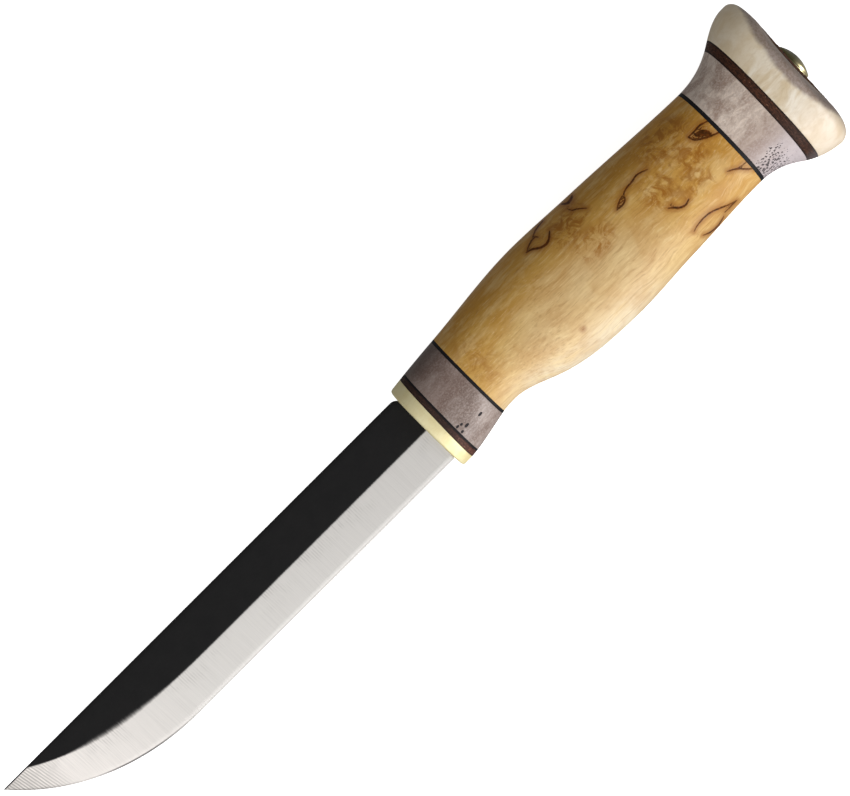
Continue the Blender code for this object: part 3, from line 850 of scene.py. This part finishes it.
def birch_material():
    """Oiled curly birch: fine grain along the grip, brown clouds towards the pommel, and bark flecks."""
    s = Shader("curly_birch_look")
    position = s.knife_position()
    x, y = s.axis(position, "X"), s.axis(position, "Y")
    towards_pommel = s.step(x, 44.0, 74.0)

    # the grain dips with the belly of the grip, drifts a little, and curls towards the pommel
    bend = s.noise(position, (0.04, 0.06, 0.06), detail=1.0)
    ripple = s.noise(position, (0.16, 0.14, 0.14), detail=1.0)
    dip = s.times(s.step(x, 14.0, 46.0, 0.0, 3.2), s.step(y, -13.0, 4.0, 1.0, 0.15))
    sideways = s.times_plus(s.math("SUBTRACT", bend, 0.5), 3.0, dip)
    curl = s.times_plus(towards_pommel, 2.2, 0.5)
    sideways = s.times_plus(s.math("SUBTRACT", ripple, 0.5), curl, sideways)
    offset = s.node("ShaderNodeCombineXYZ", {"X": 0.0, "Y": sideways, "Z": sideways}).outputs["Vector"]
    bent = s.node("ShaderNodeVectorMath", {0: position, 1: offset}, operation="ADD").outputs["Vector"]

    rings = s.noise(bent, (0.035, 0.26, 0.26), detail=3.0, roughness=0.55)
    grain = s.noise(bent, (0.1, 1.5, 1.5), detail=5.0, roughness=0.7)
    dashes = s.noise(bent, (0.2, 2.9, 2.9), detail=3.0, roughness=0.6)
    sheen = s.noise(bent, (0.1, 0.42, 0.42), detail=5.0, roughness=0.65, distortion=0.3)
    figure = s.noise(position, (0.14, 0.11, 0.11), detail=4.0, roughness=0.6, distortion=0.5)
    base = s.mix(s.step(rings, 0.34, 0.66), (198, 150, 70), (212, 170, 92))

    # painted sheen paler in the middle and along the belly, and painted shade deeper along the back
    height = s.attribute("height")
    belly = s.times(s.step(height, -0.5, -0.95, 0.0, 0.72), s.step(x, 48.0, 66.0, 1.0, 0.25))
    belly = s.times(belly, s.step(x, 16.0, 32.0, 0.5, 1.0))
    base = s.mix(s.spot(position, MIDDLE_PAINTED_SHEEN), base, (228, 206, 164))
    base = s.mix(belly, base, (244, 234, 210))
    base = s.mix(s.step(height, 0.2, 0.9, 0.0, 0.66), base, (198, 140, 24))
    base = s.mix(s.step(x, 66.0, 90.0, 0.0, 0.42), base, (202, 140, 30))

    base = s.mix(s.step(figure, 0.36, 0.64, 0.28, 0.0), base, (182, 124, 40))
    base = s.mix(s.step(sheen, 0.46, 0.66, 0.0, 0.34), base, (240, 212, 154))
    base = s.mix(s.step(grain, 0.46, 0.72, 0.0, 0.34), base, (168, 116, 44))
    base = s.mix(s.step(dashes, 0.54, 0.7, 0.0, 0.3), base, (146, 96, 36))
    base = s.mix(s.step(dashes, 0.3, 0.45, 0.3, 0.0), base, (244, 220, 164))

    # brown clouds with soft, broken edges
    clouds = s.noise(bent, (0.34, 0.34, 0.34), detail=6.0, roughness=0.68, distortion=0.8)
    total = s.times(towards_pommel, 0.12)
    for cloud in BROWN_CLOUDS:
        total = s.math("ADD", total, s.spot(position, cloud))
    total = s.times(s.math("MINIMUM", total, 0.9), s.step(clouds, 0.42, 0.6, 0.06, 1.0))
    base = s.mix(total, base, (158, 98, 14))

    # pale blobs with brown between them, round a buried knot
    broken = s.times_plus(s.noise(position, 0.8, detail=4.0, roughness=0.6), 0.7, -0.35)
    blobs = s.math("ADD", s.cells(position, (0.42, 0.36, 0.36)), broken)
    mottled = s.spot(position, MOTTLE)
    base = s.mix(s.times(mottled, s.step(blobs, 0.5, 0.75, 0.0, 0.7)), base, (150, 92, 14))
    base = s.mix(s.times(mottled, s.step(blobs, 0.12, 0.34, 0.65, 0.0)), base, (238, 204, 138))

    gap = s.stroke_gap("flecks")
    ragged = s.times_plus(s.noise(position, 2.2, detail=4.0, roughness=0.7), 0.36, -0.18)
    gap = s.math("ADD", gap, ragged)
    base = s.mix(s.step(gap, 0.0, 1.2, 0.6, 0.0), base, (150, 88, 20))
    bark = s.step(gap, -0.14, 0.14, 1.0, 0.0)
    tone = s.noise(position, 1.3, detail=3.0)
    base = s.mix(s.times(bark, 0.92), base, s.mix(s.step(tone, 0.35, 0.65), *BARK_TONES))

    relief = s.times_plus(dashes, -0.35, s.math("SUBTRACT", 1.0, bark))
    roughness = s.step(grain, 0.3, 0.7, 0.38, 0.48)
    shine = s.step(bark, 0.0, 1.0, 0.34, 0.1)
    normal = s.bump(relief, 0.04)
    return s.finish(base, roughness, normal, Coat_Weight=0.06, Coat_Roughness=0.35, Specular_IOR_Level=shine)


def epoxy_material():
    """Cured amber epoxy with a few bubbles."""
    s = Shader("epoxy_look")
    position = s.knife_position()
    bubbles = s.step(s.cells(position, 0.9), 0.08, 0.14, 1.0, 0.0)
    cloud = s.noise(position, 0.3, detail=3.0)
    colour = s.mix(cloud, (196, 172, 112), (214, 194, 140))
    colour = s.mix(bubbles, colour, (236, 226, 196))
    return s.finish(colour, s.step(cloud, 0.3, 0.7, 0.22, 0.34), s.bump(bubbles, 0.1))


# Pieces


def blade_section(distance):
    """Section of the blade from the edge round: (y, z, depth below the bevel's line, height above edge)."""
    x = distance - BLADE_LENGTH
    edge = sweep_depth(BELLY, distance)
    bevel = sweep_depth(BEVEL_SWEEP, distance)
    taper = max(0.0, (-x - TAPER_START) / (BLADE_LENGTH - TAPER_START))
    half = (BLADE_THICKNESS + (TIP_THICKNESS - BLADE_THICKNESS) * taper) / 2
    if distance < BEVEL_START:
        half *= edge / sweep_depth(BELLY, BEVEL_START)
    rounding = min(SPINE_ROUNDING, half / 2, edge / 4)
    heel = max(0.0, x + HEEL_ROUNDING)
    drop = HEEL_ROUNDING - math.sqrt(max(0.0, HEEL_ROUNDING**2 - heel**2))
    notch = HEEL_NOTCH * smoothstep(*HEEL_NOTCH_RAMP, x)
    micro = min(MICRO_BEVEL, edge / 6)
    bevel_top = max(bevel, rounding)
    # the wide bevel aims at a line below the edge, so that the micro-bevel is twice as steep
    slope = half / max(edge + micro - bevel_top, 0.01)
    depths = [(edge - notch, 0.0)]
    for share in BEVEL_SHARES:
        depth = edge - micro - notch + (bevel_top - edge + micro + notch) * share
        depths.append((depth, (edge + micro - depth) * slope))
    for share in FLAT_SHARES:
        depths.append((bevel_top + (rounding + drop - bevel_top) * share, half))
    for step in (1, 2, 3):
        angle = math.radians(30 * step)
        depths.append((drop + rounding * (1 - math.sin(angle)), half - rounding * (1 - math.cos(angle))))
    one_side = [(SPINE_Y - depth, min(z, half), depth - bevel, edge - depth) for depth, z in depths]
    other_side = [(y, -z, below, above) for y, z, below, above in reversed(one_side[1:])]
    return one_side + other_side


def tang_section(x, count):
    """Section of the tang with a given number of points: a flat bar that ends in a round rod."""
    along = min(1.0, x / ROD_START)
    is_rod = x > ROD_START
    low = TANG_ROOT[0] + (TANG_END[0] - TANG_ROOT[0]) * along
    high = TANG_ROOT[1] + (TANG_END[1] - TANG_ROOT[1]) * along
    half_thickness = ROD_RADIUS if is_rod else TANG_THICKNESS / 2
    power = 2.0 if is_rod else 10.0
    ring = []
    for step in range(count):
        angle = 2 * math.pi * step / count
        cosine, sine = math.cos(angle), math.sin(angle)
        reach = math.copysign(abs(cosine) ** (2 / power), cosine)
        width = math.copysign(abs(sine) ** (2 / power), sine)
        ring.append((x, (low + high) / 2 - reach * (high - low) / 2, half_thickness * width))
    return ring


def blade_stations():
    """Distances from the tip at which the blade is cut into sections."""
    stations = list(TIP_STATIONS)
    distance = FIRST_EVEN_STATION
    while distance < BLADE_LENGTH - HEEL_LENGTH:
        stations.append(distance)
        distance += BELLY_STEP if distance < BELLY_END else STRAIGHT_STEP
    return stations + [BLADE_LENGTH - gap for gap in HEEL_GAPS]


def make_blade(material):
    """Blade and tang as one closed surface."""
    rings, below, above = [], [], []
    for distance in blade_stations():
        section = blade_section(distance)
        rings.append([(distance - BLADE_LENGTH, y, z) for y, z, _, _ in section])
        below += [depth for _, _, depth, _ in section]
        above += [height for _, _, _, height in section]
    count = len(rings[0])
    tang = [tang_section(x, count) for x in TANG_STATIONS]
    below += [-TANG_OFFSET] * (count * len(tang))
    above += [TANG_OFFSET] * (count * len(tang))
    attributes = {"below_bevel_line": below, "above_edge": above}
    capped_piece("blade", material, rings + tang, attributes)


def make_plate(material):
    """Brass plate: a quarter-round front rim, and the slot for the tang."""
    rings = [grip_ring(0.0, 0.0, PLATE_FACE_INSET)]
    for step in reversed(range(7)):
        angle = math.radians(15 * step)
        share = PLATE_RIM_RADIUS * (1 - math.sin(angle)) / STACK["bolster_plate"][1][0]
        x, lean = joint_at("bolster_plate", share)
        rings.append(grip_ring(x, lean, PLATE_RIM_RADIUS * (1 - math.cos(angle))))
    end_x, end_lean = joint_at("bolster_plate", 1.0)
    eased_x, eased_lean = joint_at("bolster_plate", 0.98)
    rings += [
        grip_ring(PLATE_MIDDLE, end_lean / 2),
        grip_ring(eased_x, eased_lean),
        grip_ring(end_x, end_lean, SEAM_ROUNDING),
        slot_ring(end_x, end_lean),
        slot_ring(0.0, 0.0),
    ]
    looped_piece("bolster_plate", material, rings)


def spacer_rings(node):
    """Sections of a piece of the stack, outside and then down its round bore."""
    return stack_rings(node) + [round_ring(*joint_at(node, share), STACK_BORE) for share in (1.0, 0.0)]


def make_spacer(node, material):
    """A plain piece of the stack with a round bore."""
    looped_piece(node, material, spacer_rings(node))


def make_leather(node, material):
    """A leather spacer, with the share of the way from one of its faces to the other."""
    rings = spacer_rings(node)
    last = len(rings) - 3
    shares = [min(1.0, max(0.0, (row - 1) / (last - 2))) for row in range(last + 1)] + [1.0, 0.0]
    attributes = {"across": [share for share in shares for _ in range(ROUND_POINTS)]}
    looped_piece(node, material, rings, attributes)


def make_birch(material):
    """The birch grip, with its bark flecks and how far up its side each point lies."""
    rings = spacer_rings("birch_grip")
    points = [point for ring in rings for point in ring]
    attributes = {"height": [math.cos(angle) for _ in rings for angle in ring_angles()]}
    attributes.update(stroke_attributes("flecks", points, UPPER_FLECKS, LOWER_FLECKS))
    looped_piece("birch_grip", material, rings, attributes)


def recessed(point, end_distance):
    """A point of the pommel moved back by the fall of its rim, at a distance in front of its end."""
    x, y, z = point
    near_end = max(0.0, 1 - end_distance / RIM_RECESS_LENGTH) ** 2
    near_middle = 1 - smoothstep(*RIM_RECESS_REACH, abs(y - POMMEL_MIDDLE_Y))
    thick = min(1.0, abs(z) / RIM_HALF_THICKNESS) ** 5
    return x - RIM_RECESS * near_end * near_middle * thick, y, z


def make_pommel(material):
    """Flared antler pommel with a pillowed end, its spongy core and the washer's seat."""
    (x0, _), (x1, lean1) = STACK["antler_pommel"]
    length = x1 - x0
    shares = [math.sin(math.pi / 2 * step / POMMEL_SECTIONS) for step in range(POMMEL_SECTIONS + 1)]
    rings = [grip_ring(*joint_at("antler_pommel", 0.0), SEAM_ROUNDING)]
    for share in shares:
        share = SEAM_ROUNDING / length + (1 - SEAM_ROUNDING / length) * share
        x, lean = joint_at("antler_pommel", share)
        rings.append([recessed(point, x1 - x) for point in grip_ring(x, lean, 0.0, x1 - x)])
    cores = [[0.0] * ROUND_POINTS for _ in rings]
    rim = rings[-1]
    seat = round_ring(x1, lean1, SEAT_RADIUS)
    for step in range(1, CORE_SECTIONS + 1):
        t = step / CORE_SECTIONS
        crown = smoothstep(0.02, 0.28, t) * (1 - smoothstep(0.8, 1.0, t))
        ring = []
        for outer, inner in zip(rim, seat):
            y = outer[1] + (inner[1] - outer[1]) * t
            z = outer[2] + (inner[2] - outer[2]) * t
            pits = noise.noise(Vector((y, z, 3.0)) * 1.3) + 0.6 * noise.noise(Vector((y, z, 9.0)) * 2.9)
            x = x1 + lean1 * y + crown * (CORE_CROWN + CORE_PITS * pits)
            ring.append(recessed((x, y, z), 0.0))
        rings.append(ring)
        cores.append([smoothstep(0.0, 0.3, t)] * ROUND_POINTS)
    rings += [
        round_ring(WASHER_SEAT, 0.0, SEAT_RADIUS),
        round_ring(WASHER_SEAT, 0.0, POMMEL_BORE),
        round_ring(*joint_at("antler_pommel", 0.0), POMMEL_BORE),
    ]
    cores += [[1.0] * ROUND_POINTS, [1.0] * ROUND_POINTS, [0.0] * ROUND_POINTS]
    attributes = {"core": [value for row in cores for value in row]}
    looped_piece("antler_pommel", material, rings, attributes)


def turned_rings(profile, x0):
    """Circles about the tang's axis for a profile of (radius, distance along x)."""
    rings = []
    for radius, along in profile:
        ring = []
        for step in range(TURNED_POINTS):
            angle = 2 * math.pi * step / TURNED_POINTS
            ring.append((x0 + along, radius * math.cos(angle), radius * math.sin(angle)))
        rings.append(ring)
    return rings


def make_washer(material):
    """Brass washer with eased rims."""
    inner, outer, ease = BARREL_RADIUS + WASHER_PLAY, WASHER_RADIUS, WASHER_EASE
    profile = (
        (inner, 0.0),
        (outer - ease, 0.0),
        (outer, ease),
        (outer, WASHER_THICKNESS - ease),
        (outer - ease, WASHER_THICKNESS),
        (inner, WASHER_THICKNESS),
    )
    rings = turned_rings(profile, WASHER_SEAT + WASHER_LIFT)
    looped_piece("pommel_washer", material, rings)


def make_nut(material):
    """Domed nut, with a small peened flat on top and its barrel."""
    sphere_radius = (NUT_RADIUS**2 + NUT_RISE**2) / (2 * NUT_RISE)
    half_angle = math.asin(NUT_RADIUS / sphere_radius)
    profile = []
    for step in range(1, DOME_SECTIONS + 1):
        angle = half_angle * step / DOME_SECTIONS
        height = NUT_RIM + NUT_RISE - sphere_radius * (1 - math.cos(angle))
        profile.append((sphere_radius * math.sin(angle), height))
    ease_across, ease_along = NUT_RIM_EASE
    profile += [
        (NUT_RADIUS, ease_along),
        (NUT_RADIUS - ease_across, 0.0),
        (BARREL_RADIUS, 0.0),
        (BARREL_RADIUS, -BARREL_LENGTH),
        (NUT_BORE_RADIUS, -BARREL_LENGTH),
        (NUT_BORE_RADIUS, NUT_BORE_END),
    ]
    capped_piece("tang_nut", material, turned_rings(profile, NUT_BASE))


# Stage


def make_floor():
    """A plain pale floor."""
    bpy.ops.mesh.primitive_plane_add(size=FLOOR_SIZE, location=(0.0, 0.0, FLOOR_HEIGHT))
    floor = bpy.context.object
    floor.name = "floor"
    s = Shader("floor_look")
    s.finish((244, 244, 244), 0.9)
    s.principled.inputs["Emission Color"].default_value = (1.0, 1.0, 1.0, 1.0)
    s.principled.inputs["Emission Strength"].default_value = FLOOR_GLOW
    floor.data.materials.append(s.material)
    floor.visible_diffuse = False
    floor.visible_glossy = False


def area_light(name, location, target, size, energy):
    """A soft box at a place, facing a target, both in metres."""
    data = bpy.data.lights.new(name, "AREA")
    data.shape = "RECTANGLE"
    data.size, data.size_y = size
    data.energy = energy
    light = bpy.data.objects.new(name, data)
    light.location = location
    light.rotation_euler = (Vector(target) - Vector(location)).to_track_quat("-Z", "Y").to_euler()
    bpy.context.scene.collection.objects.link(light)


def make_lights():
    """Two soft boxes and a pale world, shown without any tone curve."""
    for light in LIGHTS:
        area_light(*light)
    world = bpy.data.worlds.new("studio")
    world.use_nodes = True
    background = world.node_tree.nodes["Background"]
    background.inputs["Color"].default_value = (1.0, 1.0, 1.0, 1.0)
    background.inputs["Strength"].default_value = WORLD_GLOW
    bpy.context.scene.world = world
    bpy.context.scene.view_settings.view_transform = "Standard"


def make_camera():
    """Looks down on the knife from above its grip, with the knife rising to the upper right at 45 degrees."""
    target = place(CAMERA_TARGET)
    above = place(CAMERA_PLACE)
    data = bpy.data.cameras.new("camera")
    data.sensor_width = SENSOR_WIDTH
    data.lens = SENSOR_WIDTH * (above - target).length / (VIEW_WIDTH * MM)
    camera = bpy.data.objects.new("camera", data)
    back = (above - target).normalized()
    up = Vector((1.0, 1.0, 0.0)).normalized()
    right = up.cross(back).normalized()
    up = back.cross(right)
    turn = Matrix((right, up, back)).transposed().to_4x4()
    camera.matrix_world = Matrix.Translation(above) @ turn
    bpy.context.scene.collection.objects.link(camera)
    bpy.context.scene.camera = camera


make_blade(blade_material())
make_plate(brass_material("brass_look", (0.5, 5.0, 5.0), (0.5, 0.6), (0.4, 0.25)))
fibre = fibre_material()
make_leather(
    "bolster_leather",
    leather_material("bolster_leather_look", BOLSTER_LEATHER_TONES, BOLSTER_LEATHER_PAINTED_SHADE),
)
make_spacer("bolster_liner", fibre)
front_antler = antler_material("front_antler_look", FRONT_ANTLER_TONES, FRONT_ANTLER_PAINTED_SHADE, FRONT_PORES)
make_spacer("front_antler", front_antler)
make_spacer("front_liner", fibre)
make_birch(birch_material())
make_spacer("rear_liner", fibre)
rear_antler = antler_material("rear_antler_look", REAR_ANTLER_TONES, REAR_ANTLER_PAINTED_SHADE, many_pores=True)
make_spacer("rear_antler", rear_antler)
make_leather("rear_leather", leather_material("rear_leather_look", REAR_LEATHER_TONES, REAR_LEATHER_PAINTED_LIGHT_AND_SHADE))
make_pommel(pommel_material())
turned_brass = brass_material("turned_brass_look", (9.0, 0.25, 0.25), (0.26, 0.36), (1.0, 0.9), NUT_PAINTED_REFLECTION)
make_washer(turned_brass)
make_nut(turned_brass)
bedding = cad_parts["tang_bedding"].data.materials
bedding.clear()
bedding.append(epoxy_material())
make_floor()
make_lights()
make_camera()
